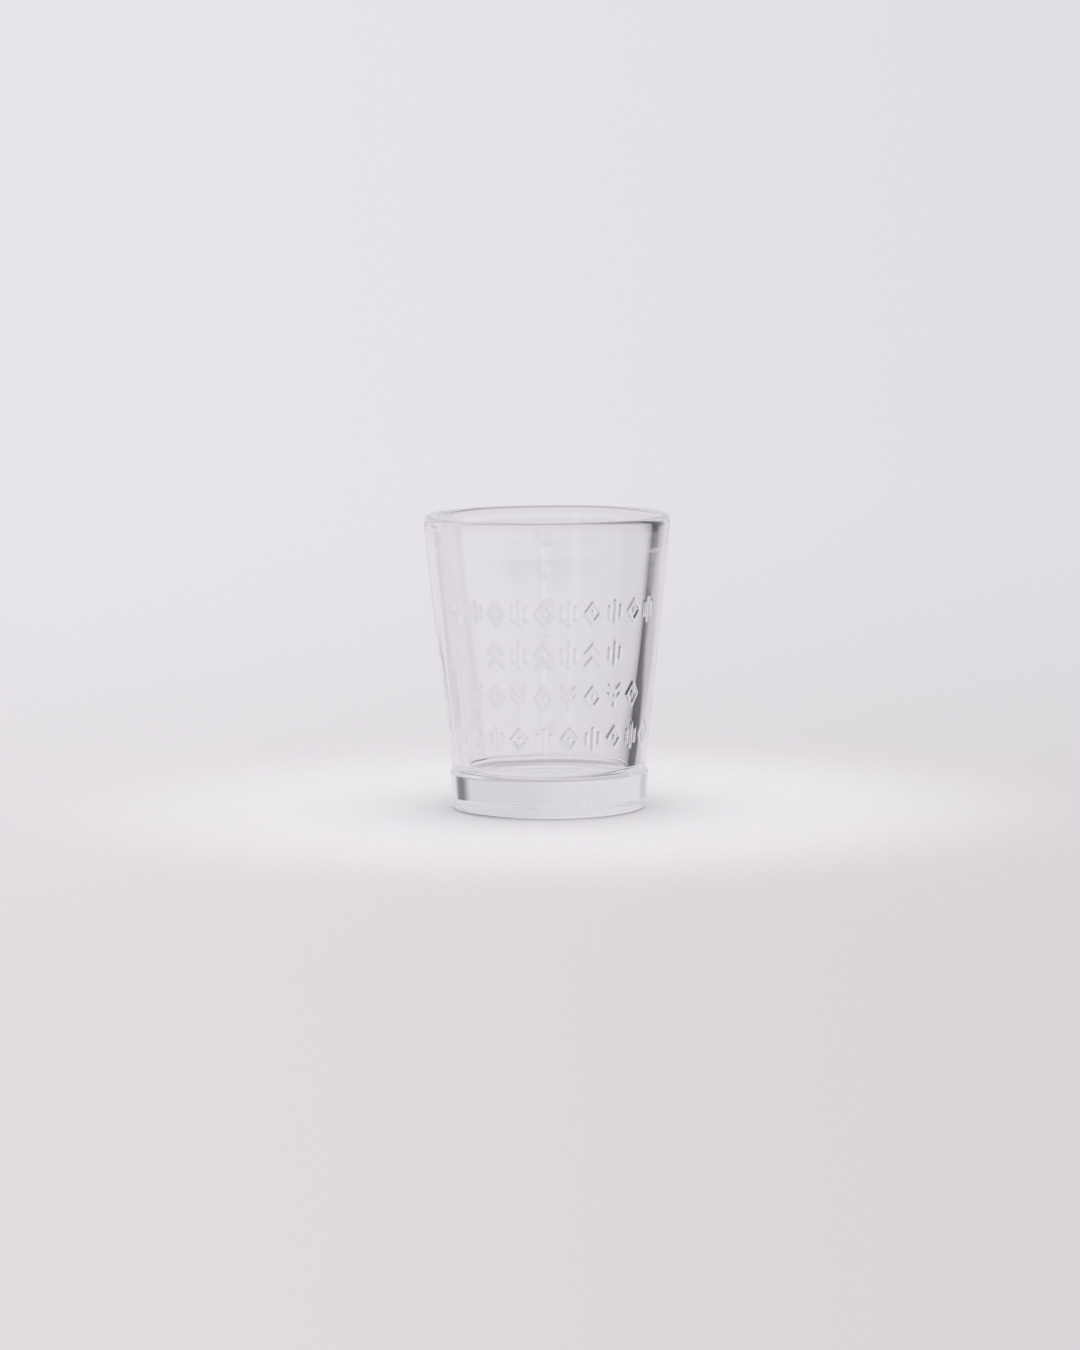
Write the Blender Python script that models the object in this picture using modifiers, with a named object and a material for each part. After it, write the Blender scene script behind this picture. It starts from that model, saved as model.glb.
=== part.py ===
"""A small pressed-glass tumbler that stands on a basin and holds a toothbrush.

Metres, +Z up. The origin is the middle of the plane that the cup rests on. The raised measuring scale
is on the wall's +Y side, so the plain front of the wall faces -Y.

The cup is one turned shape, because it is pressed from one piece of glass. Its outline starts on the
axis at the inner floor, climbs the inside of the wall, goes over the lip, down the outside and the
foot, and back to the axis under the foot. Every turn of the outline is rounded, as melted glass is.
"""
import math
from collections import namedtuple

import bpy
from mathutils import Vector

OBJECT_NAME = "toothbrush_tumbler"

# Wall and lip
CUP_HEIGHT = 0.066           # rest plane to the top of the lip
RIM_RADIUS = 0.0275          # outside of the lip, the widest part of the cup
WALL_BASE_RADIUS = 0.0217    # outside of the wall where it meets the foot
UPPER_WALL = 0.00365         # glass under the rim band, measured level
LOWER_WALL = 0.00395         # glass at the inner floor, measured level
LIP_THICKNESS = 0.0033       # glass at the very top
LIP_ROUND = 0.0012           # melted edge of the lip, inside and outside
LIP_DEPTH = 0.0025           # upright outer side of the lip, its rounding included
RIM_BAND_HEIGHT = 0.0077     # upper band of the wall with the lip, more upright than the rest
RIM_BAND_DRAFT = 0.0004      # how far that band narrows on its way down
WALL_BEND_ROUND = 0.025      # soft bend where the band becomes the tapered wall

# Foot and inner floor
FOOT_HEIGHT = 0.0092         # rest plane to where the wall rises from the ledge
FOOT_LEDGE = 0.00055         # how far the foot stands out past the wall
FOOT_DRAFT = 0.0005          # how far the foot narrows on its way down
LEDGE_DROP = 0.0009          # how far the ledge slopes down to its outer edge
LEDGE_ROUND = 0.0008         # outer edge of the ledge
LEDGE_ROOT_ROUND = 0.0008    # hollow corner where the wall rises from the ledge
FOOT_EDGE_ROUND = 0.0012     # bottom edge of the foot
FLOOR_HEIGHT = 0.0079        # rest plane to the inner floor, so the foot is solid glass
FLOOR_ROUND = 0.0028         # hollow corner between the inner floor and the wall
REST_RING_WIDTH = 0.0028     # flat ring that the cup stands on
RING_INNER_ROUND = 0.0006    # edge of the ring towards the hollow under the foot
PUNT_DEPTH = 0.0003          # hollow under the foot, which keeps its middle off the basin
PUNT_SLOPE_WIDTH = 0.008     # sloping rim of that hollow
PUNT_ROUND = 0.005           # soft bend from the slope to the middle of the hollow

# Measuring scale: an upright stem with ticks on one side, long and short by turns
SCALE_RELIEF = 0.0002        # how far it stands out from the wall
SCALE_ROOT = 0.0008          # how deep its own solid reaches into the wall
SCALE_TOP_DROP = 0.0003      # top of the stem below the rim band
SCALE_BASE_RISE = 0.0042     # bottom of the stem above the ledge
STEM_WIDTH = 0.0007
TICK_WIDTH = 0.0007
TICK_PITCH = 0.007
LONG_TICK = 0.0036           # from the middle of the stem to the tick's end
SHORT_TICK = 0.0019
OVERRUN = 0.002              # how far a cutting shape runs past the glass

# Facets
TURN_STEPS = 80              # a multiple of four, so that the box of the cup is its true diameter
MERGE_DISTANCE = 0.00002
SMOOTH_ANGLE = math.radians(30)

# Glass: clear, colourless and polished by the mould and the flame
GLASS_COLOUR = (0.93, 0.95, 0.95, 1.0)
GLASS_ROUGHNESS = 0.02
GLASS_IOR = 1.52

# A corner of an outline: its radius from the axis, its height, its rounding and the arc's steps
Corner = namedtuple("Corner", "radius height rounding steps")


def remove_scene_objects():
    """Empty the scene without closing the file."""
    for old in list(bpy.data.objects):
        bpy.data.objects.remove(old, do_unlink=True)


def new_collection(name):
    """A collection of the scene, named for what it holds."""
    collection = bpy.data.collections.new(name)
    bpy.context.scene.collection.children.link(collection)
    return collection


def rounded_corner(before, corner, after):
    """Points of the arc that rounds one corner, limited to half of the shorter side beside it."""
    here = Vector((corner.radius, corner.height))
    back = Vector((before.radius, before.height)) - here
    onward = Vector((after.radius, after.height)) - here
    half_angle = back.angle(onward) / 2
    reach = min(corner.rounding / math.tan(half_angle), back.length / 2, onward.length / 2)
    radius = reach * math.tan(half_angle)
    middle = (back.normalized() + onward.normalized()).normalized()
    centre = here + middle * radius / math.sin(half_angle)
    first_spoke = here + back.normalized() * reach - centre
    last_spoke = here + onward.normalized() * reach - centre
    spokes = [first_spoke.slerp(last_spoke, step / corner.steps) for step in range(corner.steps + 1)]
    return [centre + radius * spoke for spoke in spokes]


def rounded_outline(corners):
    """Points of an outline with all its corners rounded but the first and the last."""
    points = [Vector((corners[0].radius, corners[0].height))]
    for before, corner, after in zip(corners, corners[1:], corners[2:]):
        for point in rounded_corner(before, corner, after):
            if (point - points[-1]).length > MERGE_DISTANCE:
                points.append(point)
    points.append(Vector((corners[-1].radius, corners[-1].height)))
    return points


def wall_outside(height):
    """Outer radius of the tapered wall, between the ledge and the rim band."""
    band_start = CUP_HEIGHT - RIM_BAND_HEIGHT
    climbed = (height - FOOT_HEIGHT) / (band_start - FOOT_HEIGHT)
    return WALL_BASE_RADIUS + climbed * (RIM_RADIUS - RIM_BAND_DRAFT - WALL_BASE_RADIUS)


def inside_corners():
    """Corners of the inside, from the middle of the floor up to the lip."""
    band_start = CUP_HEIGHT - RIM_BAND_HEIGHT
    floor_radius = wall_outside(FLOOR_HEIGHT) - LOWER_WALL
    band_radius = wall_outside(band_start) - UPPER_WALL
    return [
        Corner(0, FLOOR_HEIGHT, 0, 0),
        Corner(floor_radius, FLOOR_HEIGHT, FLOOR_ROUND, 6),
        Corner(band_radius, band_start, WALL_BEND_ROUND, 3),
        Corner(RIM_RADIUS - LIP_THICKNESS, CUP_HEIGHT, LIP_ROUND, 5),
    ]


def outside_corners():
    """Corners of the outside, from the lip down to the ledge and the bottom of the foot."""
    band_start = CUP_HEIGHT - RIM_BAND_HEIGHT
    foot_radius = WALL_BASE_RADIUS + FOOT_LEDGE
    return [
        Corner(RIM_RADIUS, CUP_HEIGHT, LIP_ROUND, 5),
        Corner(RIM_RADIUS, CUP_HEIGHT - LIP_DEPTH, WALL_BEND_ROUND, 2),
        Corner(wall_outside(band_start), band_start, WALL_BEND_ROUND, 2),
        Corner(WALL_BASE_RADIUS, FOOT_HEIGHT, LEDGE_ROOT_ROUND, 3),
        Corner(foot_radius, FOOT_HEIGHT - LEDGE_DROP, LEDGE_ROUND, 3),
        Corner(foot_radius - FOOT_DRAFT, 0, FOOT_EDGE_ROUND, 5),
    ]


def underside_corners():
    """Corners of the underside, from the rest ring to the middle of the hollow."""
    ring_inside = WALL_BASE_RADIUS + FOOT_LEDGE - FOOT_DRAFT - FOOT_EDGE_ROUND - REST_RING_WIDTH
    return [
        Corner(ring_inside, 0, RING_INNER_ROUND, 3),
        Corner(ring_inside - PUNT_SLOPE_WIDTH, PUNT_DEPTH, PUNT_ROUND, 3),
        Corner(0, PUNT_DEPTH, 0, 0),
    ]


def turned_object(name, outline, closed, collection):
    """An outline in the XZ plane, turned about Z with a Screw modifier."""
    mesh = bpy.data.meshes.new(name)
    edges = [(index, index + 1) for index in range(len(outline) - 1)]
    if closed:
        edges.append((len(outline) - 1, 0))
    mesh.from_pydata([(radius, 0, height) for radius, height in outline], edges, [])
    turned = bpy.data.objects.new(name, mesh)
    collection.objects.link(turned)
    screw = turned.modifiers.new("turn", "SCREW")
    screw.axis = "Z"
    screw.angle = math.tau
    screw.steps = TURN_STEPS
    screw.render_steps = TURN_STEPS
    screw.use_merge_vertices = True
    screw.merge_threshold = MERGE_DISTANCE
    return turned


def scale_outline():
    """Outline of the measuring scale, seen from the front: the stem, with its ticks to the right."""
    top = CUP_HEIGHT - RIM_BAND_HEIGHT - SCALE_TOP_DROP
    bottom = FOOT_HEIGHT + SCALE_BASE_RISE
    tick_count = 1 + int((top - TICK_WIDTH - bottom) / TICK_PITCH)
    points = [(-STEM_WIDTH / 2, top), (-STEM_WIDTH / 2, bottom), (STEM_WIDTH / 2, bottom)]
    for place in reversed(range(tick_count)):
        reach = SHORT_TICK if place % 2 else LONG_TICK
        tick_top = top - place * TICK_PITCH
        tick_bottom = tick_top - TICK_WIDTH
        points += [(STEM_WIDTH / 2, tick_bottom), (reach, tick_bottom), (reach, tick_top)]
        if place:
            points.append((STEM_WIDTH / 2, tick_top))
    return points


def make_scale_blank(collection):
    """The scale as a flat comb, thick enough to pass through the back of the wall."""
    outline = scale_outline()
    mesh = bpy.data.meshes.new("scale_blank")
    mesh.from_pydata([(side, 0, height) for side, height in outline], [], [range(len(outline))])
    blank = bpy.data.objects.new("scale_blank", mesh)
    collection.objects.link(blank)
    thicken = blank.modifiers.new("thicken", "SOLIDIFY")
    thicken.thickness = RIM_RADIUS + SCALE_RELIEF + OVERRUN
    thicken.offset = -1
    return blank


def make_scale(collection):
    """The measuring scale as a solid of its own: the comb, trimmed to a skin that follows the wall."""
    low = FOOT_HEIGHT
    high = CUP_HEIGHT - RIM_BAND_HEIGHT
    skin = [
        (wall_outside(low) - SCALE_ROOT, low),
        (wall_outside(high) - SCALE_ROOT, high),
        (wall_outside(high) + SCALE_RELIEF, high),
        (wall_outside(low) + SCALE_RELIEF, low),
    ]
    scale = turned_object("scale_skin", skin, True, collection)
    trim = scale.modifiers.new("trim", "BOOLEAN")
    trim.operation = "INTERSECT"
    trim.solver = "EXACT"
    trim.object = make_scale_blank(collection)
    return scale


def make_glass():
    """Clear soda-lime glass."""
    glass = bpy.data.materials.new("clear_glass")
    glass.use_nodes = True
    surface = glass.node_tree.nodes["Principled BSDF"]
    surface.inputs["Base Color"].default_value = GLASS_COLOUR
    surface.inputs["Roughness"].default_value = GLASS_ROUGHNESS
    surface.inputs["Metallic"].default_value = 0
    surface.inputs["IOR"].default_value = GLASS_IOR
    surface.inputs["Transmission Weight"].default_value = 1
    return glass


def settle_modifiers(piece):
    """Keep the evaluated mesh of a piece, shaded smooth except at its real edges."""
    evaluated = piece.evaluated_get(bpy.context.evaluated_depsgraph_get())
    mesh = bpy.data.meshes.new_from_object(evaluated)
    mesh.name = piece.name
    piece.modifiers.clear()
    piece.data = mesh
    mesh.shade_smooth()
    mesh.set_sharp_from_angle(angle=SMOOTH_ANGLE)


def make_cup(parts, cutters):
    """The whole cup: the turned glass with the measuring scale raised on its back."""
    outline = rounded_outline(inside_corners() + outside_corners() + underside_corners())
    cup = turned_object("glass_cup", outline, False, parts)
    raise_scale = cup.modifiers.new("raise_scale", "BOOLEAN")
    raise_scale.operation = "UNION"
    raise_scale.solver = "EXACT"
    raise_scale.object = make_scale(cutters)
    settle_modifiers(cup)
    cup.data.materials.clear()
    cup.data.materials.append(make_glass())
    return cup


def hide_cutters(cutters):
    """Show the shapes that only shape other pieces as wires, and leave them out of renders."""
    for cutter in cutters.objects:
        cutter.hide_render = True
        cutter.display_type = "WIRE"


def main():
    """Model the tumbler."""
    remove_scene_objects()
    parts = new_collection(OBJECT_NAME)
    cutters = new_collection("cutters")
    make_cup(parts, cutters)
    hide_cutters(cutters)


main()
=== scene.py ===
"""Looks for a small pressed-glass tumbler that stands on a basin and holds a toothbrush.

The cup is one piece of clear glass, so its look is one fine closed mesh. It is turned from the outline
of the solid that it replaces, with the marks of its making raised in it: a measuring scale on the back,
four rows of plain ornament on the front, and the faint ripple of glass that cooled in a mould.
Metres, +Z up. The front of the wall faces -Y and the measuring scale +Y.
"""
import math
from collections import namedtuple

import bpy
import numpy as np
from bpy.props import FloatProperty, FloatVectorProperty, PointerProperty
from bpy.types import Operator, Panel, PropertyGroup
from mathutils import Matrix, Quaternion, Vector


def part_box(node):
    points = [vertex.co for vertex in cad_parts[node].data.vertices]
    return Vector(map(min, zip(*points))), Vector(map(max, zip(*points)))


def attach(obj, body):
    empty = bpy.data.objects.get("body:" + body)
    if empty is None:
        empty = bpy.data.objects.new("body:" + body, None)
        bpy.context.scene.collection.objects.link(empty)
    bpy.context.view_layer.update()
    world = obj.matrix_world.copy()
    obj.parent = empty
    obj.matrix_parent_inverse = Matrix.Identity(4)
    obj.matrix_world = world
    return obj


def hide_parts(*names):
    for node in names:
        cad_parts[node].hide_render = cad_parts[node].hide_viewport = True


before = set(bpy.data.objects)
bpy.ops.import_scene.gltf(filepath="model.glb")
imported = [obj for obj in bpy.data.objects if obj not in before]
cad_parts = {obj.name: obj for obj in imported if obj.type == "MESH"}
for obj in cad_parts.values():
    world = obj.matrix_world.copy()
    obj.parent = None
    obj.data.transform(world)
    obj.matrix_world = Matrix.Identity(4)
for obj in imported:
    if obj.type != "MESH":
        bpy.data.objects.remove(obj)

bl_info = {
    "name": "Pressed Glass Tumbler",
    "version": (1, 0, 0),
    "blender": (4, 5, 0),
    "location": "3D View > Sidebar > Tumbler",
    "description": "A small tumbler of clear pressed glass, on a pale stage with soft light",
    "category": "Object",
}

CAD_NODE = "glass_cup"
CAD_BODY = "root"
CUP_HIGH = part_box(CAD_NODE)[1]
CUP_HEIGHT = CUP_HIGH.z
RIM_RADIUS = CUP_HIGH.x

# A corner of an outline: its radius from the axis, its height, its rounding and the arc's steps
Corner = namedtuple("Corner", "radius height rounding steps")

# One ring of the mesh: where the outline is, and the angles of its vertices
Ring = namedtuple("Ring", "radius height angles")

# Motifs of the rows, as strokes in shares of a motif's width and height
LOZENGE_SHARES = (
    ((0, 0.5), (0.5, 0), (0, -0.5), (-0.5, 0), (0, 0.5)),
    ((0, 0.09), (0, -0.09)),
)
BARS_SHARES = (
    ((-0.42, 0.26), (-0.42, -0.26)),
    ((0, 0.5), (0, -0.5)),
    ((0.42, 0.26), (0.42, -0.26)),
)
CHEVRONS_SHARES = (
    ((-0.5, 0.08), (0, 0.5), (0.5, 0.08)),
    ((-0.5, -0.5), (0, -0.08), (0.5, -0.5)),
)
SPRIG_SHARES = (
    ((0, 0.3), (0, -0.5)),
    ((-0.42, 0.5), (0, 0.16), (0.42, 0.5)),
    ((-0.42, 0.1), (0, -0.24), (0.42, 0.1)),
)

# The rows from the top: the motifs that take turns, and how many stand side by side
ROWS = (
    ((LOZENGE_SHARES, BARS_SHARES), 10),
    ((CHEVRONS_SHARES, BARS_SHARES), 6),
    ((SPRIG_SHARES, LOZENGE_SHARES), 8),
    ((BARS_SHARES, LOZENGE_SHARES), 10),
)

# A soft-edged patch of the surroundings, in degrees: where it begins, where it is whole, up to where it is
# whole, and where it ends. Turns go from +Y towards +X, and rises upwards from the level. A shade is such a
# patch with the share of light that it takes. Beside each is what it darkens in the glass, from the camera.
Patch = namedtuple("Patch", "turns rises")
Shade = namedtuple("Shade", "turns rises depth")
SHADES = (
    Shade(turns=(14, 30, 75, 100), rises=(-60, -40, -10, -6.5), depth=0.28),          # beside the streak
    Shade(turns=(14, 37, 62, 70), rises=(-90, -80, -14.5, -12.3), depth=0.74),        # line under the lip
    Shade(turns=(35, 45, 58, 63), rises=(-32, -25, -12, -8.2), depth=0.86),           # streak at the right
    Shade(turns=(8, 20, 62, 70), rises=(-50, -44, -24, -17), depth=0.4),              # back of the rim
    Shade(turns=(45, 57, 62, 70), rises=(-6.5, -6, 2, 8), depth=0.88),                # left end of the foot
    Shade(turns=(-80, -65, 65, 80), rises=(-5.9, -5.1, 9, 14), depth=0.1),            # face of the foot
    Shade(turns=(-85, -75, -62, -50), rises=(-9, -7.5, 3, 9), depth=0.35),            # right end of the foot
    Shade(turns=(-45, -35, -28, -24), rises=(-12, -11, -9, -8), depth=0.14),          # soft line at the left
    Shade(turns=(-36, -30, -21, -15), rises=(-15.5, -14, -12.4, -11.8), depth=0.28),  # left end of the lip
    Shade(turns=(15, 20, 34, 42), rises=(-15, -14, -12.4, -11.8), depth=0.35),        # ornament at the right
    Shade(turns=(-32, -12, 6, 20), rises=(-64, -54, -35, -29), depth=0.36),           # inner floor, back
    Shade(turns=(-60, -45, 30, 45), rises=(15, 24, 30, 38), depth=0.3),               # inner floor, front
)
# A painted reflection: a bright window that shows only where the glass reflects the surroundings, and lights
# nothing
BRIGHT_WINDOW = Patch(turns=(-153, -146, -144, -137), rises=(2.5, 5, 6, 8.5))

# The backdrop passes from its upper to its lower colour between these rises, and grows dimmer to the right
# between these turns, in degrees
BACKDROP_RISES = (-4, -10)
DIMMING_TURNS = (-4, 14)

# Steps of the mesh
PLAIN_COLUMNS = 192
FINE_STEP = 0.00022           # along and across the rows of ornament
SCALE_STEP = 0.0004           # along and across the measuring scale, whose edges are softer
PLAIN_STEP = 0.0012           # along the plain wall
ARC_STEPS = 16
SUPPORT_SHARE = 0.12          # first and last step of a straight run, as a share of a plain step
GAP_STEPS = 2                 # step between the motifs of a row, in fine steps
LONGEST_LAST_STEP = 1.5       # longest last step of a march, in steps
SUPPORTS_IN_RUN = 4           # a straight run is at least this many close steps long
HUB_RADIUS = 0.0007           # innermost ring of the flat middles
SAME_PLACE = 0.000001         # how near a ring must lie to the wall's line to carry its marks

# How far the fine mesh reaches: past a stroke in times its softness, past the marks in times that margin
MARGIN_SOFTNESSES = 2
SCALE_REACH = 1.5
ROW_REACH = 2

# Unevenness of the wall: sine waves with a whole number of turns round it, and a climb in radians a metre
INSIDE_SEED = 11
OUTSIDE_SEED = 23
RIPPLE_WAVES = 14
RIPPLE_TURNS = (2, 22)
RIPPLE_CLIMB = 90

# Rise and fall of the melted lip: the height, number and phase of each wave round it
LIP_WAVES = ((1, 3, 0.8), (0.6, 7, 2.1))

# Light goes on through thick glass, and along inside it, for this many meetings with its surface
LIGHT_BOUNCES = 300

FLOOR_GAP = 0.00002           # from the cup down to the floor, so that the two faces don't meet
CAMERA_CLIP = 0.05            # nearest that the camera sees


def linear(hex_colour):
    """A linear colour with full alpha from an sRGB hex value."""
    channels = [int(hex_colour[place:place + 2], 16) / 255 for place in (1, 3, 5)]
    curved = [c / 12.92 if c <= 0.04045 else ((c + 0.055) / 1.055) ** 2.4 for c in channels]
    return (*curved, 1.0)


def length(default, name, description):
    """A length in metres that the sidebar can change."""
    return FloatProperty(name=name, description=description, default=default, unit="LENGTH", precision=5)


def degrees(default, name, description):
    """An angle that the sidebar can change, given in degrees."""
    return FloatProperty(name=name, description=description, default=math.radians(default), subtype="ANGLE")


def amount(default, name, description):
    """A plain number that the sidebar can change."""
    return FloatProperty(name=name, description=description, default=default)


def colour(hex_colour, name, description):
    """A colour that the sidebar can change."""
    return FloatVectorProperty(
        name=name, description=description, default=linear(hex_colour), subtype="COLOR", size=4, min=0, max=1
    )


class TumblerShape(PropertyGroup):
    """Sizes of the turned glass. Its height and widest radius come from the solid."""

    wall_base_radius: length(0.0217, "Wall base radius", "Outside of the wall where it meets the foot")
    upper_wall: length(0.00365, "Upper wall", "Glass under the rim band, measured level")
    lower_wall: length(0.00395, "Lower wall", "Glass at the inner floor, measured level")
    lip_thickness: length(0.0033, "Lip thickness", "Glass at the very top")
    lip_inner_round: length(0.0015, "Lip inner round", "Melted inner edge of the lip")
    lip_outer_round: length(0.0012, "Lip outer round", "Melted outer edge of the lip")
    lip_depth: length(0.0025, "Lip depth", "Upright outer side of the lip")
    rim_band_height: length(0.0077, "Rim band height", "Upper band of the wall, more upright")
    rim_band_draft: length(0.0004, "Rim band draft", "How far the band narrows on its way down")
    bend_round: length(0.025, "Bend round", "Soft bend between the band and the tapered wall")
    foot_height: length(0.0092, "Foot height", "Rest plane to where the wall rises from the ledge")
    foot_ledge: length(0.00055, "Foot ledge", "How far the foot stands out past the wall")
    foot_draft: length(0.0005, "Foot draft", "How far the foot narrows on its way down")
    ledge_drop: length(0.0009, "Ledge drop", "How far the ledge slopes to its outer edge")
    ledge_round: length(0.0008, "Ledge round", "Outer edge of the ledge and its root")
    foot_edge_round: length(0.0012, "Foot edge round", "Bottom edge of the foot")
    floor_height: length(0.0079, "Floor height", "Rest plane to the inner floor")
    floor_round: length(0.0028, "Floor round", "Hollow corner between the inner floor and the wall")
    rest_ring_width: length(0.0028, "Rest ring width", "Flat ring that the cup stands on")
    ring_inner_round: length(0.0006, "Ring inner round", "Edge of the ring towards the hollow")
    punt_depth: length(0.0003, "Punt depth", "Hollow under the foot")
    punt_slope_width: length(0.008, "Punt slope width", "Sloping rim of that hollow")
    punt_round: length(0.005, "Punt round", "Soft bend into the middle of the hollow")
    ripple: length(0.000015, "Ripple", "Unevenness of the wall from the mould")
    lip_wave: length(0.0001, "Lip wave", "How far the melted lip rises and falls")


class TumblerRelief(PropertyGroup):
    """Sizes of the raised marks."""

    scale_relief: length(0.00016, "Scale relief", "How far the measuring scale stands out")
    scale_stroke: length(0.0012, "Scale stroke", "Width of its stem and ticks")
    scale_softness: length(0.0006, "Scale softness", "Half of the width over which they rise")
    scale_top_drop: length(0.0003, "Scale top drop", "Top of the stem below the rim band")
    scale_base_rise: length(0.0042, "Scale base rise", "Bottom of the stem above the ledge")
    tick_pitch: length(0.007, "Tick pitch", "From one tick to the next")
    long_tick: length(0.0036, "Long tick", "From the middle of the stem to the tick's end")
    short_tick: length(0.0019, "Short tick", "From the middle of the stem to the tick's end")
    row_relief: length(0.00026, "Row relief", "How far the ornament stands out")
    row_stroke: length(0.00062, "Row stroke", "Width of the ornament's strokes")
    motif_width: length(0.0035, "Motif width", "Between the middles of its outer strokes")
    motif_height: length(0.0048, "Motif height", "Between the middles of its top and bottom strokes")
    motif_pitch: length(0.0055, "Motif pitch", "From one motif to the next")
    row_pitch: length(0.0094, "Row pitch", "From one row to the next")
    top_row_height: length(0.0459, "Top row height", "Rest plane to the middle of the top row")
    row_softness: length(0.00028, "Row softness", "Half of the width over which its strokes rise")


class TumblerGlass(PropertyGroup):
    """The glass as a material."""

    body_colour: colour("#FDFDFE", "Body colour", "What the surface lets through")
    depth_colour: colour("#CFCFD2", "Depth colour", "What thick glass turns to")
    depth_density: amount(1.0, "Depth density", "Absorption per metre")
    ior: amount(1.52, "IOR", "Bending of light, 1.52 for soda-lime glass")
    smooth_roughness: amount(0.0, "Smooth roughness", "Polished by the flame")
    worn_roughness: amount(0.15, "Worn roughness", "Of the ring it stands on")
    worn_height: length(0.00015, "Worn height", "How far up from the rest plane the glass is worn")
    skin_size: length(0.003, "Skin size", "Spacing of the faint dimples of the mould's skin")
    skin_depth: length(0.000004, "Skin depth", "Depth of those dimples")


class TumblerStage(PropertyGroup):
    """Floor, backdrop, light and camera."""

    floor_colour: colour("#F6F3F7", "Floor", "Pale floor")
    backdrop_top: colour("#E8E6EB", "Backdrop top", "Pale backdrop above")
    backdrop_foot: colour("#E1DCE0", "Backdrop foot", "Pale backdrop below")
    light_colour: colour("#FFFFFF", "Light", "Plain light that falls on the floor")
    shade_colour: colour("#00071D", "Shade colour", "What the shades tend to")
    side_share: amount(0.92, "Side share", "Brightness of the backdrop's right side")
    window_strength: amount(1.6, "Window strength", "Brightness of the window in reflections")
    floor_near: length(0.03, "Floor near", "Radius inside which the floor is solid")
    floor_far: length(0.13, "Floor far", "Radius where the floor has faded into the backdrop")
    camera_distance: length(1.05, "Camera distance", "Level distance from the cup's axis")
    camera_height: length(0.1475, "Camera height", "Above the rest plane")
    camera_turn: degrees(4.4, "Camera turn", "From -Y towards -X")
    camera_roll: degrees(0.45, "Camera roll", "Clockwise, as of a camera held in the hand")
    aim_height: length(0.02974, "Aim height", "Height on the axis that the picture is centred on")
    aim_side: length(-0.00185, "Aim side", "Shift of the picture's centre to the camera's right")
    focal_length: amount(125.8, "Focal length", "Millimetres on a 36 mm sensor")


def rounded_corner(before, corner, after):
    """Points of the arc that rounds one corner."""
    here = Vector((corner.radius, corner.height))
    back = Vector((before.radius, before.height)) - here
    onward = Vector((after.radius, after.height)) - here
    half_angle = back.angle(onward) / 2
    reach = corner.rounding / math.tan(half_angle)
    middle = (back.normalized() + onward.normalized()).normalized()
    centre = here + middle * corner.rounding / math.sin(half_angle)
    first_spoke = here + back.normalized() * reach - centre
    last_spoke = here + onward.normalized() * reach - centre
    spokes = [first_spoke.slerp(last_spoke, step / corner.steps) for step in range(corner.steps + 1)]
    return [centre + corner.rounding * spoke for spoke in spokes]


def marched(start, end, step_at):
    """Places from start to end, each a step beyond the last, where the step depends on the place."""
    places = [start]
    while abs(end - places[-1]) > LONGEST_LAST_STEP * step_at(places[-1]):
        places.append(places[-1] + math.copysign(step_at(places[-1]), end - start))
    return places + [end]


def straight_run(start, end, step_at):
    """Points inside a straight run of the outline, with a close one at either end to hold its shading."""
    span = (end - start).length
    support = min(SUPPORT_SHARE * PLAIN_STEP, span / SUPPORTS_IN_RUN)
    places = marched(support, span - support, lambda place: step_at(start.lerp(end, place / span)))
    return [start.lerp(end, place / span) for place in places]


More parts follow.
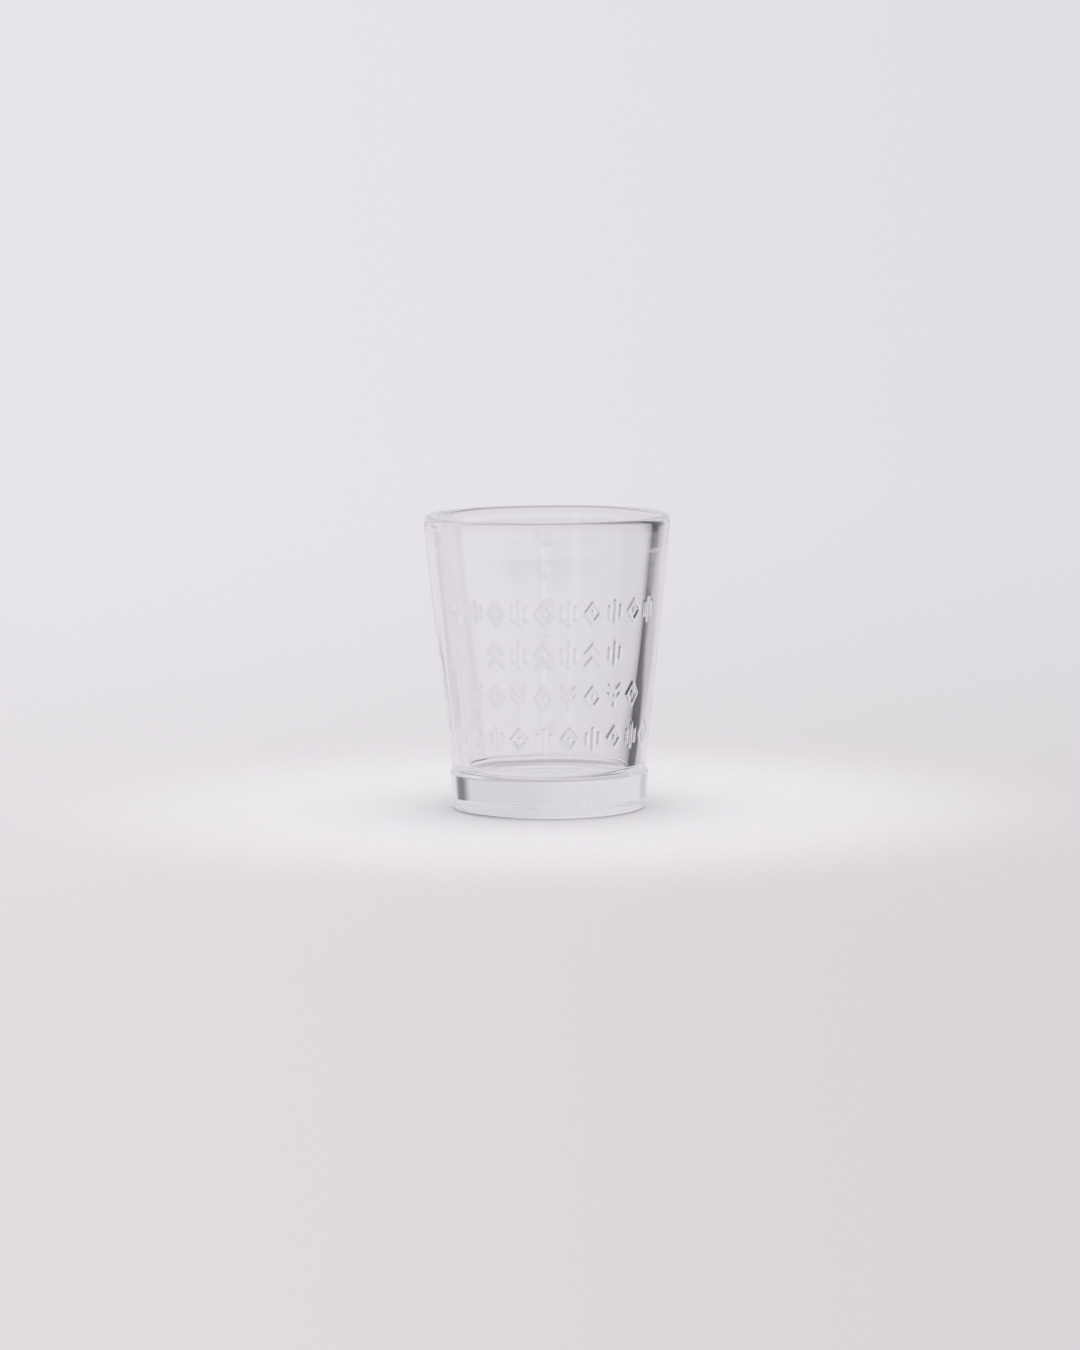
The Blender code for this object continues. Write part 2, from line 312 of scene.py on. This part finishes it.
class Outline:
    """The cup's outline, and what depends on it."""

    def __init__(self, shape):
        self.shape = shape
        self.band_start = CUP_HEIGHT - shape.rim_band_height
        self.band_radius = RIM_RADIUS - shape.rim_band_draft

    def wall_outside(self, height):
        """Outer radius of the tapered wall, between the ledge and the rim band."""
        climbed = (height - self.shape.foot_height) / (self.band_start - self.shape.foot_height)
        return self.shape.wall_base_radius + climbed * (self.band_radius - self.shape.wall_base_radius)

    def on_outer_side(self, radius, height):
        """Whether a point of the outline is on the cup's outer side, not its inner one."""
        return radius > self.wall_outside(height) - self.shape.upper_wall / 2

    def wall_share(self, height):
        """How much of the wall's unevenness a height has: none at the foot and the lip, all between them."""
        from_foot = (height - self.shape.foot_height) / self.shape.foot_height
        from_lip = (CUP_HEIGHT - height) / self.shape.rim_band_height
        return min(max(from_foot, 0), max(from_lip, 0), 1)

    def lip_share(self, height):
        """How much of the lip's rise and fall a height has: all at the top, none below the rim band."""
        return max(0, (height - self.band_start) / self.shape.rim_band_height)

    def corners(self):
        """Corners from the middle of the inner floor, over the lip, to the middle of the underside."""
        shape = self.shape
        floor_radius = self.wall_outside(shape.floor_height) - shape.lower_wall
        foot_radius = shape.wall_base_radius + shape.foot_ledge
        foot_base = foot_radius - shape.foot_draft
        ring_inside = foot_base - shape.foot_edge_round - shape.rest_ring_width
        return [
            Corner(HUB_RADIUS, shape.floor_height, 0, 0),
            Corner(floor_radius, shape.floor_height, shape.floor_round, ARC_STEPS),
            Corner(self.band_radius - shape.upper_wall, self.band_start, shape.bend_round, ARC_STEPS),
            Corner(RIM_RADIUS - shape.lip_thickness, CUP_HEIGHT, shape.lip_inner_round, ARC_STEPS),
            Corner(RIM_RADIUS, CUP_HEIGHT, shape.lip_outer_round, ARC_STEPS),
            Corner(RIM_RADIUS, CUP_HEIGHT - shape.lip_depth, shape.bend_round, ARC_STEPS // 2),
            Corner(self.band_radius, self.band_start, shape.bend_round, ARC_STEPS // 2),
            Corner(shape.wall_base_radius, shape.foot_height, shape.ledge_round, ARC_STEPS // 2),
            Corner(foot_radius, shape.foot_height - shape.ledge_drop, shape.ledge_round, ARC_STEPS // 2),
            Corner(foot_base, 0, shape.foot_edge_round, ARC_STEPS),
            Corner(ring_inside, 0, shape.ring_inner_round, ARC_STEPS // 2),
            Corner(ring_inside - shape.punt_slope_width, shape.punt_depth, shape.punt_round, ARC_STEPS // 2),
            Corner(HUB_RADIUS, shape.punt_depth, 0, 0),
        ]

    def points(self, step_at):
        """Points of the outline, with straight runs filled in by the given step."""
        corners = self.corners()
        points = [Vector((corners[0].radius, corners[0].height))]
        for before, corner, after in zip(corners, corners[1:], corners[2:]):
            arc = rounded_corner(before, corner, after)
            points += straight_run(points[-1], arc[0], step_at)
            points += arc
        last = Vector((corners[-1].radius, corners[-1].height))
        return points + straight_run(points[-1], last, step_at) + [last]


class Marks:
    """The raised marks of the outer wall, laid out by angle from the front and by height."""

    def __init__(self, relief, outline):
        self.relief = relief
        self.outline = outline
        self.row_margin = relief.row_stroke / 2 + MARGIN_SOFTNESSES * relief.row_softness
        self.scale_margin = relief.scale_stroke / 2 + MARGIN_SOFTNESSES * relief.scale_softness
        self.scale_top = outline.band_start - relief.scale_top_drop
        self.scale_base = outline.shape.foot_height + relief.scale_base_rise
        first_tick = self.scale_top - relief.scale_stroke / 2
        count = 1 + int((first_tick - self.scale_base) / relief.tick_pitch)
        self.tick_heights = [first_tick - place * relief.tick_pitch for place in range(count)]
        self.row_heights = [relief.top_row_height - place * relief.row_pitch for place in range(len(ROWS))]

    def row_at(self, height):
        """Number of the row at a height, or None between rows."""
        reach = self.relief.motif_height / 2 + self.row_margin
        for row, middle in enumerate(self.row_heights):
            if abs(height - middle) <= reach:
                return row
        return None

    def on_scale(self, height):
        """Whether the scale's stem passes a height."""
        return self.scale_base - self.scale_margin <= height <= self.scale_top + self.scale_margin

    def wall_step(self, point):
        """Step along the outline at one of its points: fine on the marks, plain elsewhere."""
        if not (self.outline.on_outer_side(point.x, point.y) and self.on_scale(point.y)):
            return PLAIN_STEP
        if self.row_at(point.y) is not None:
            return FINE_STEP
        reach = SCALE_REACH * self.scale_margin
        near_end = min(abs(point.y - end) for end in (self.scale_base, self.scale_top)) < reach
        near_tick = min(abs(point.y - tick) for tick in self.tick_heights) < reach
        return SCALE_STEP if near_end or near_tick else PLAIN_STEP

    def row_radius(self, row):
        """Wall radius that a row's widths are measured at."""
        return self.outline.wall_outside(self.row_heights[row])

    def motif_places(self, row):
        """Places of a row's motifs along the wall, from the front's middle."""
        count = ROWS[row][1]
        return [(place - (count - 1) / 2) * self.relief.motif_pitch for place in range(count)]

    def angle_step(self, angle, row, with_scale):
        """Step round the wall at an angle: fine on the marks, plain elsewhere."""
        plain = math.tau / PLAIN_COLUMNS
        if with_scale:
            radius = self.outline.wall_outside(self.scale_top)
            reach = self.relief.long_tick + SCALE_REACH * self.scale_margin
            if math.pi - abs(angle) < reach / radius:
                return SCALE_STEP / radius
        if row is not None:
            radius = self.row_radius(row)
            reach = self.relief.motif_width / 2 + ROW_REACH * self.row_margin
            if min(abs(angle * radius - place) for place in self.motif_places(row)) < reach:
                return FINE_STEP / radius
            if abs(angle) * radius < self.motif_places(row)[-1]:
                return GAP_STEPS * FINE_STEP / radius
        return plain

    def angles(self, height, on_outer_side):
        """Angles of a ring's vertices, alike on both sides, by what the ring passes."""
        row = self.row_at(height) if on_outer_side else None
        with_scale = on_outer_side and self.on_scale(height)
        half = marched(0, math.pi, lambda angle: self.angle_step(angle, row, with_scale))
        return tuple([-angle for angle in reversed(half[1:-1])] + half)

    def strokes(self, shares, place, row):
        """Straight strokes of one motif, as pairs of points along the wall and up it."""
        size = Vector((self.relief.motif_width, self.relief.motif_height))
        middle = Vector((place, self.row_heights[row]))
        for line in shares:
            points = [middle + Vector(point) * size for point in line]
            yield from zip(points, points[1:])

    def row_lift(self, row, angles, heights):
        """How far one row stands out at each vertex: less to the sides, so that the mould opens forwards."""
        motifs = ROWS[row][0]
        along = angles * self.row_radius(row)
        lift = np.zeros_like(along)
        for number, place in enumerate(self.motif_places(row)):
            near = np.abs(along - place) < self.relief.motif_pitch / 2 + self.relief.row_stroke
            for start, end in self.strokes(motifs[number % len(motifs)], place, row):
                stroke = stroke_lift(
                    along[near], heights[near], start, end, self.relief.row_stroke, self.relief.row_softness
                )
                lift[near] = np.maximum(lift[near], stroke)
        return lift * self.relief.row_relief * np.cos(angles)

    def scale_lift(self, angles, heights):
        """How far the measuring scale stands out at each vertex."""
        from_back = np.where(angles > 0, math.pi - angles, -math.pi - angles)
        along = from_back * self.outline.wall_outside(heights)
        width, softness = self.relief.scale_stroke, self.relief.scale_softness
        strokes = [(Vector((0, self.scale_top - width / 2)), Vector((0, self.scale_base + width / 2)))]
        for number, tick in enumerate(self.tick_heights):
            reach = (self.relief.short_tick if number % 2 else self.relief.long_tick) - width / 2
            strokes.append((Vector((0, tick)), Vector((reach, tick))))
        lifts = [stroke_lift(along, heights, start, end, width, softness) for start, end in strokes]
        return np.maximum.reduce(lifts) * self.relief.scale_relief


def stroke_lift(along, heights, start, end, width, softness):
    """Lift of one round-ended stroke, from 0 on the wall to 1 on its top."""
    run = end - start
    share = ((along - start.x) * run.x + (heights - start.y) * run.y) / run.length_squared
    share = np.clip(share, 0, 1)
    distance = np.hypot(along - start.x - share * run.x, heights - start.y - share * run.y)
    inside = np.clip((width / 2 + softness - distance) / (2 * softness), 0, 1)
    return inside * inside * (3 - 2 * inside)


def ripple(angles, heights, seed):
    """Smooth unevenness round a turned surface, about 1 high, longer upwards than round."""
    random = np.random.default_rng(seed)
    total = np.zeros_like(angles)
    for _ in range(RIPPLE_WAVES):
        turns = random.integers(*RIPPLE_TURNS)
        climb = random.normal(0, RIPPLE_CLIMB)
        phase = random.uniform(0, math.tau)
        total += np.sin(turns * angles + climb * heights + phase)
    return total / math.sqrt(RIPPLE_WAVES / 2)


def slow_wave(angles):
    """The gentle rise and fall of a flame-melted edge, between -1 and 0."""
    total = sum(height * np.sin(waves * angles + phase) for height, waves, phase in LIP_WAVES)
    highest = sum(height for height, _, _ in LIP_WAVES)
    return (total - highest) / (2 * highest)


def ring_faces(first, second):
    """Faces between two rings, given as lists of vertex number and angle.

    Rings with the same angles are joined by quads, and others by triangles that take turns by angle.
    """
    if [angle for _, angle in first] == [angle for _, angle in second]:
        numbers = [(a, b) for (a, _), (b, _) in zip(first, second)]
        return [(a, b, d, c) for (a, b), (c, d) in zip(numbers, numbers[1:] + numbers[:1])]
    faces = []
    above = first + [(first[0][0], first[0][1] + math.tau)]
    below = second + [(second[0][0], second[0][1] + math.tau)]
    left, right = 0, 0
    while left < len(first) or right < len(second):
        step_above = right == len(second) or (
            left < len(first)
            and above[left + 1][1] + above[left][1] <= below[right + 1][1] + below[right][1]
        )
        if step_above:
            faces.append((above[left][0], below[right][0], above[left + 1][0]))
            left += 1
        else:
            faces.append((above[left][0], below[right][0], below[right + 1][0]))
            right += 1
    return faces


def glass_rings(outline, marks):
    """All rings of the cup, from the inner floor to the underside."""
    rings = []
    for point in outline.points(marks.wall_step):
        on_outer_side = outline.on_outer_side(point.x, point.y)
        rings.append(Ring(point.x, point.y, marks.angles(point.y, on_outer_side)))
    return rings


def ring_vertices(ring, past_lip, outline, marks):
    """Vertices of one ring, with the unevenness of the glass and the marks that the ring passes."""
    angles = np.array(ring.angles)
    radii = np.full_like(angles, ring.radius)
    heights = np.full_like(angles, ring.height)
    seed = OUTSIDE_SEED if past_lip else INSIDE_SEED
    radii += outline.shape.ripple * outline.wall_share(ring.height) * ripple(angles, heights, seed)
    heights += outline.shape.lip_wave * outline.lip_share(ring.height) * slow_wave(angles)
    if past_lip and abs(ring.radius - outline.wall_outside(ring.height)) < SAME_PLACE:
        row = marks.row_at(ring.height)
        if row is not None:
            radii += marks.row_lift(row, angles, heights)
        if marks.on_scale(ring.height):
            radii += marks.scale_lift(angles, heights)
    return list(zip(radii * np.sin(angles), -radii * np.cos(angles), heights))


def glass_mesh(shape, relief):
    """The cup as one closed mesh."""
    outline = Outline(shape)
    marks = Marks(relief, outline)
    rings = glass_rings(outline, marks)
    vertices = []
    faces = []
    numbered = []
    crown = max(range(len(rings)), key=lambda place: rings[place].height)
    for place, ring in enumerate(rings):
        numbered.append([(len(vertices) + step, turn) for step, turn in enumerate(ring.angles)])
        vertices += ring_vertices(ring, place >= crown, outline, marks)
    for above, below in zip(numbered, numbered[1:]):
        faces += ring_faces(above, below)
    faces += hub_faces(vertices, numbered[0], rings[0].height, underside=False)
    faces += hub_faces(vertices, numbered[-1], rings[-1].height, underside=True)
    mesh = bpy.data.meshes.new("pressed_glass")
    mesh.from_pydata(vertices, [], faces)
    mesh.shade_smooth()
    return mesh


def hub_faces(vertices, ring, height, underside):
    """Triangles from a flat middle's innermost ring to the axis."""
    vertices.append((0, 0, height))
    hub = len(vertices) - 1
    numbers = [number for number, _ in ring]
    pairs = zip(numbers, numbers[1:] + numbers[:1])
    return [(a, hub, b) if underside else (hub, a, b) for a, b in pairs]


def add_node(tree, kind, settings=None, links=None):
    """Add a node, set its properties and sockets, and link its sockets to those of other nodes.

    Sockets that share a name go by number. A Mix node's factor is 0, its two values are 2 and 3 with their
    result 0, and its two colours are 6 and 7 with their result 2.
    """
    node = tree.nodes.new(kind)
    for name, value in (settings or {}).items():
        if isinstance(name, int) or name in node.inputs:
            node.inputs[name].default_value = value
        else:
            setattr(node, name, value)
    for name, source in (links or {}).items():
        tree.links.new(source, node.inputs[name])
    return node


def pressed_soda_lime_glass(settings):
    """Soda-lime glass, pressed in a mould and flame-polished.

    It is clear and bright, with a faint cool tint in its depth. The mould leaves very shallow dimples, which
    make what shows through the wall waver a little, and the ring that it stands on is worn dull.
    """
    glass = bpy.data.materials.new("pressed_soda_lime_glass")
    glass.use_nodes = True
    tree = glass.node_tree
    surface = tree.nodes["Principled BSDF"]
    surface.inputs["Base Color"].default_value = settings.body_colour
    surface.inputs["Transmission Weight"].default_value = 1
    surface.inputs["IOR"].default_value = settings.ior
    place = add_node(tree, "ShaderNodeTexCoord").outputs["Object"]
    height = add_node(tree, "ShaderNodeSeparateXYZ", None, {0: place}).outputs["Z"]
    worn = add_node(
        tree,
        "ShaderNodeMapRange",
        {"interpolation_type": "SMOOTHSTEP", "From Min": settings.worn_height, "From Max": 0},
        {"Value": height},
    )
    roughness = add_node(
        tree,
        "ShaderNodeMix",
        {2: settings.smooth_roughness, 3: settings.worn_roughness},
        {0: worn.outputs["Result"]},
    )
    skin = add_node(
        tree,
        "ShaderNodeTexNoise",
        {"Scale": 1 / settings.skin_size, "Detail": 1},
        {"Vector": place},
    )
    dimples = add_node(
        tree,
        "ShaderNodeBump",
        {"Distance": settings.skin_depth},
        {"Height": skin.outputs["Fac"]},
    )
    tree.links.new(roughness.outputs[0], surface.inputs["Roughness"])
    tree.links.new(dimples.outputs["Normal"], surface.inputs["Normal"])
    depth = add_node(
        tree,
        "ShaderNodeVolumeAbsorption",
        {"Color": settings.depth_colour, "Density": settings.depth_density},
    )
    tree.links.new(depth.outputs["Volume"], tree.nodes["Material Output"].inputs["Volume"])
    return glass


class TUMBLER_OT_glass_cup(Operator):
    """Make the glass cup, with its measuring scale and its rows of ornament"""

    bl_idname = "tumbler.glass_cup"
    bl_label = "Glass Cup"

    def execute(self, context):
        scene = context.scene
        mesh = glass_mesh(scene.tumbler_shape, scene.tumbler_relief)
        mesh.materials.append(pressed_soda_lime_glass(scene.tumbler_glass))
        cup = bpy.data.objects.new("pressed_glass_cup", mesh)
        scene.collection.objects.link(cup)
        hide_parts(CAD_NODE)
        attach(cup, CAD_BODY)
        return {"FINISHED"}


def pale_floor_material(settings):
    """Pale matt floor, such as a painted board, which fades into the backdrop away from the cup.

    It takes the cup's soft shadow. The glass shows the backdrop in its place.
    """
    material = bpy.data.materials.new("pale_matt_floor")
    material.use_nodes = True
    tree = material.node_tree
    tree.nodes.remove(tree.nodes["Principled BSDF"])
    place = add_node(tree, "ShaderNodeNewGeometry")
    reach = add_node(tree, "ShaderNodeVectorMath", {"operation": "LENGTH"}, {0: place.outputs["Position"]})
    path = add_node(tree, "ShaderNodeLightPath")
    far = add_node(
        tree,
        "ShaderNodeMapRange",
        {
            "interpolation_type": "SMOOTHSTEP",
            "From Min": settings.floor_near,
            "From Max": settings.floor_far,
        },
        {"Value": reach.outputs["Value"]},
    )
    fade = add_node(
        tree,
        "ShaderNodeMath",
        {"operation": "MAXIMUM"},
        {0: path.outputs["Is Transmission Ray"], 1: far.outputs["Result"]},
    )
    matt = add_node(tree, "ShaderNodeBsdfDiffuse", {"Color": settings.floor_colour})
    clear = add_node(tree, "ShaderNodeBsdfTransparent")
    mix = add_node(
        tree,
        "ShaderNodeMixShader",
        None,
        {0: fade.outputs[0], 1: matt.outputs[0], 2: clear.outputs[0]},
    )
    tree.links.new(mix.outputs[0], tree.nodes["Material Output"].inputs["Surface"])
    return material


def make_floor(scene, settings):
    """A round floor under the cup."""
    mesh = bpy.data.meshes.new("floor")
    turns = [math.tau * step / PLAIN_COLUMNS for step in range(PLAIN_COLUMNS)]
    edge = [(settings.floor_far * math.cos(turn), settings.floor_far * math.sin(turn), 0) for turn in turns]
    mesh.from_pydata(edge, [], [range(len(edge))])
    mesh.materials.append(pale_floor_material(settings))
    floor = bpy.data.objects.new("floor", mesh)
    floor.location.z = -FLOOR_GAP
    scene.collection.objects.link(floor)


def patch_share(tree, turn, rise, patch):
    """How far a direction lies inside a patch of the surroundings, as a socket."""
    edges = [
        (turn, [math.radians(value) for value in patch.turns]),
        (rise, [math.sin(math.radians(value)) for value in patch.rises]),
    ]
    share = None
    for value, (begins, whole, until, ends) in edges:
        for low, high in ((begins, whole), (ends, until)):
            step = add_node(
                tree,
                "ShaderNodeMapRange",
                {"interpolation_type": "SMOOTHSTEP", "From Min": low, "From Max": high},
                {"Value": value},
            ).outputs["Result"]
            if share is not None:
                step = add_node(
                    tree,
                    "ShaderNodeMath",
                    {"operation": "MULTIPLY"},
                    {0: share, 1: step},
                ).outputs[0]
            share = step
    return share


def backdrop_colour(tree, way, settings):
    """Colour of the backdrop in a direction, as a socket: darker downwards, and dimmer to the right."""
    upper, lower = [math.sin(math.radians(value)) for value in BACKDROP_RISES]
    down = add_node(
        tree,
        "ShaderNodeMapRange",
        {"interpolation_type": "SMOOTHSTEP", "From Min": upper, "From Max": lower},
        {"Value": way.outputs["Z"]},
    )
    pale = add_node(
        tree,
        "ShaderNodeMix",
        {"data_type": "RGBA", 6: settings.backdrop_top, 7: settings.backdrop_foot},
        {0: down.outputs["Result"]},
    )
    bright, dim = [math.sin(math.radians(value)) for value in DIMMING_TURNS]
    aside = add_node(
        tree,
        "ShaderNodeMapRange",
        {"interpolation_type": "SMOOTHSTEP", "From Min": bright, "From Max": dim},
        {"Value": way.outputs["X"]},
    )
    dimming = add_node(tree, "ShaderNodeMix", {2: 1, 3: settings.side_share}, {0: aside.outputs["Result"]})
    return add_node(
        tree,
        "ShaderNodeVectorMath",
        {"operation": "SCALE"},
        {0: pale.outputs[2], "Scale": dimming.outputs[0]},
    ).outputs[0]


def light_left(tree, turn, rise):
    """Share of the light that the shades leave in a direction, as a socket."""
    light = None
    for shade in SHADES:
        left = add_node(
            tree,
            "ShaderNodeMath",
            {"operation": "MULTIPLY_ADD", 1: -shade.depth, 2: 1},
            {0: patch_share(tree, turn, rise, shade)},
        ).outputs[0]
        if light is not None:
            left = add_node(
                tree,
                "ShaderNodeMath",
                {"operation": "MULTIPLY"},
                {0: light, 1: left},
            ).outputs[0]
        light = left
    return light


def make_backdrop(scene, settings):
    """A pale backdrop all round, which also lights the stage.

    What the camera sees, whether straight, in a reflection or through the glass, is the backdrop's own
    colour, and the floor is lit by plain white. The shades, which tend to a cool dark colour, show only
    through the glass, and the window, a painted reflection that lights nothing, shows only in reflections.
    """
    world = bpy.data.worlds.new("pale_backdrop")
    scene.world = world
    world.use_nodes = True
    tree = world.node_tree
    place = add_node(tree, "ShaderNodeTexCoord")
    way = add_node(tree, "ShaderNodeSeparateXYZ", None, {0: place.outputs["Generated"]})
    rise = way.outputs["Z"]
    turn = add_node(
        tree,
        "ShaderNodeMath",
        {"operation": "ARCTAN2"},
        {0: way.outputs["X"], 1: way.outputs["Y"]},
    ).outputs[0]
    path = add_node(tree, "ShaderNodeLightPath")
    through = add_node(
        tree,
        "ShaderNodeMix",
        {2: 1},
        {0: path.outputs["Is Transmission Ray"], 3: light_left(tree, turn, rise)},
    )
    shaded = add_node(
        tree,
        "ShaderNodeMix",
        {"data_type": "RGBA", 6: settings.shade_colour},
        {0: through.outputs[0], 7: backdrop_colour(tree, way, settings)},
    )
    window = add_node(
        tree,
        "ShaderNodeMath",
        {"operation": "MULTIPLY"},
        {0: patch_share(tree, turn, rise, BRIGHT_WINDOW), 1: path.outputs["Is Glossy Ray"]},
    )
    strength = add_node(tree, "ShaderNodeMix", {2: 1, 3: settings.window_strength}, {0: window.outputs[0]})
    shown = add_node(
        tree,
        "ShaderNodeMath",
        {"operation": "ADD"},
        {0: path.outputs["Is Camera Ray"], 1: path.outputs["Is Transmission Ray"]},
    )
    shown = add_node(
        tree,
        "ShaderNodeMath",
        {"operation": "ADD", "use_clamp": True},
        {0: shown.outputs[0], 1: path.outputs["Is Glossy Ray"]},
    )
    scenery = add_node(
        tree,
        "ShaderNodeMix",
        {"data_type": "RGBA", 6: settings.light_colour},
        {0: shown.outputs[0], 7: shaded.outputs[2]},
    )
    tree.links.new(scenery.outputs[2], tree.nodes["Background"].inputs["Color"])
    tree.links.new(strength.outputs[0], tree.nodes["Background"].inputs["Strength"])


def make_camera(scene, settings):
    """A camera in front of the cup, a little above it, that looks slightly down."""
    forward = Vector((math.sin(settings.camera_turn), math.cos(settings.camera_turn), 0))
    right = Vector((forward.y, -forward.x, 0))
    camera = bpy.data.objects.new("camera", bpy.data.cameras.new("camera"))
    camera.location = -forward * settings.camera_distance
    camera.location.z = settings.camera_height
    aim = Vector((0, 0, settings.aim_height)) + right * settings.aim_side
    level = (aim - camera.location).to_track_quat("-Z", "Y")
    camera.rotation_euler = (level @ Quaternion((0, 0, 1), -settings.camera_roll)).to_euler()
    camera.data.lens = settings.focal_length
    camera.data.clip_start = CAMERA_CLIP
    scene.collection.objects.link(camera)
    scene.camera = camera


class TUMBLER_OT_stage(Operator):
    """Make the floor, the backdrop, the light and the camera"""

    bl_idname = "tumbler.stage"
    bl_label = "Stage"

    def execute(self, context):
        scene = context.scene
        settings = scene.tumbler_stage
        make_floor(scene, settings)
        make_backdrop(scene, settings)
        make_camera(scene, settings)
        scene.view_settings.view_transform = "Standard"
        scene.cycles.max_bounces = LIGHT_BOUNCES
        scene.cycles.glossy_bounces = LIGHT_BOUNCES
        scene.cycles.transmission_bounces = LIGHT_BOUNCES
        return {"FINISHED"}


class TUMBLER_PT_panel(Panel):
    """Sidebar panel that makes the tumbler and its stage"""

    bl_label = "Pressed Glass Tumbler"
    bl_space_type = "VIEW_3D"
    bl_region_type = "UI"
    bl_category = "Tumbler"

    def draw(self, context):
        column = self.layout.column()
        for operator in OPERATORS:
            column.operator(operator.bl_idname)


SETTINGS = {
    "tumbler_shape": TumblerShape,
    "tumbler_relief": TumblerRelief,
    "tumbler_glass": TumblerGlass,
    "tumbler_stage": TumblerStage,
}
OPERATORS = (TUMBLER_OT_glass_cup, TUMBLER_OT_stage)


def register():
    """Register the settings, the operators and the panel."""
    for name, group in SETTINGS.items():
        bpy.utils.register_class(group)
        setattr(bpy.types.Scene, name, PointerProperty(type=group))
    for operator in OPERATORS:
        bpy.utils.register_class(operator)
    bpy.utils.register_class(TUMBLER_PT_panel)


def unregister():
    """Take them away again."""
    bpy.utils.unregister_class(TUMBLER_PT_panel)
    for operator in reversed(OPERATORS):
        bpy.utils.unregister_class(operator)
    for name, group in reversed(SETTINGS.items()):
        delattr(bpy.types.Scene, name)
        bpy.utils.unregister_class(group)


def main():
    """Build the tumbler and its stage."""
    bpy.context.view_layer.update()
    register()
    bpy.ops.tumbler.glass_cup()
    bpy.ops.tumbler.stage()


if __name__ == "__main__":
    main()
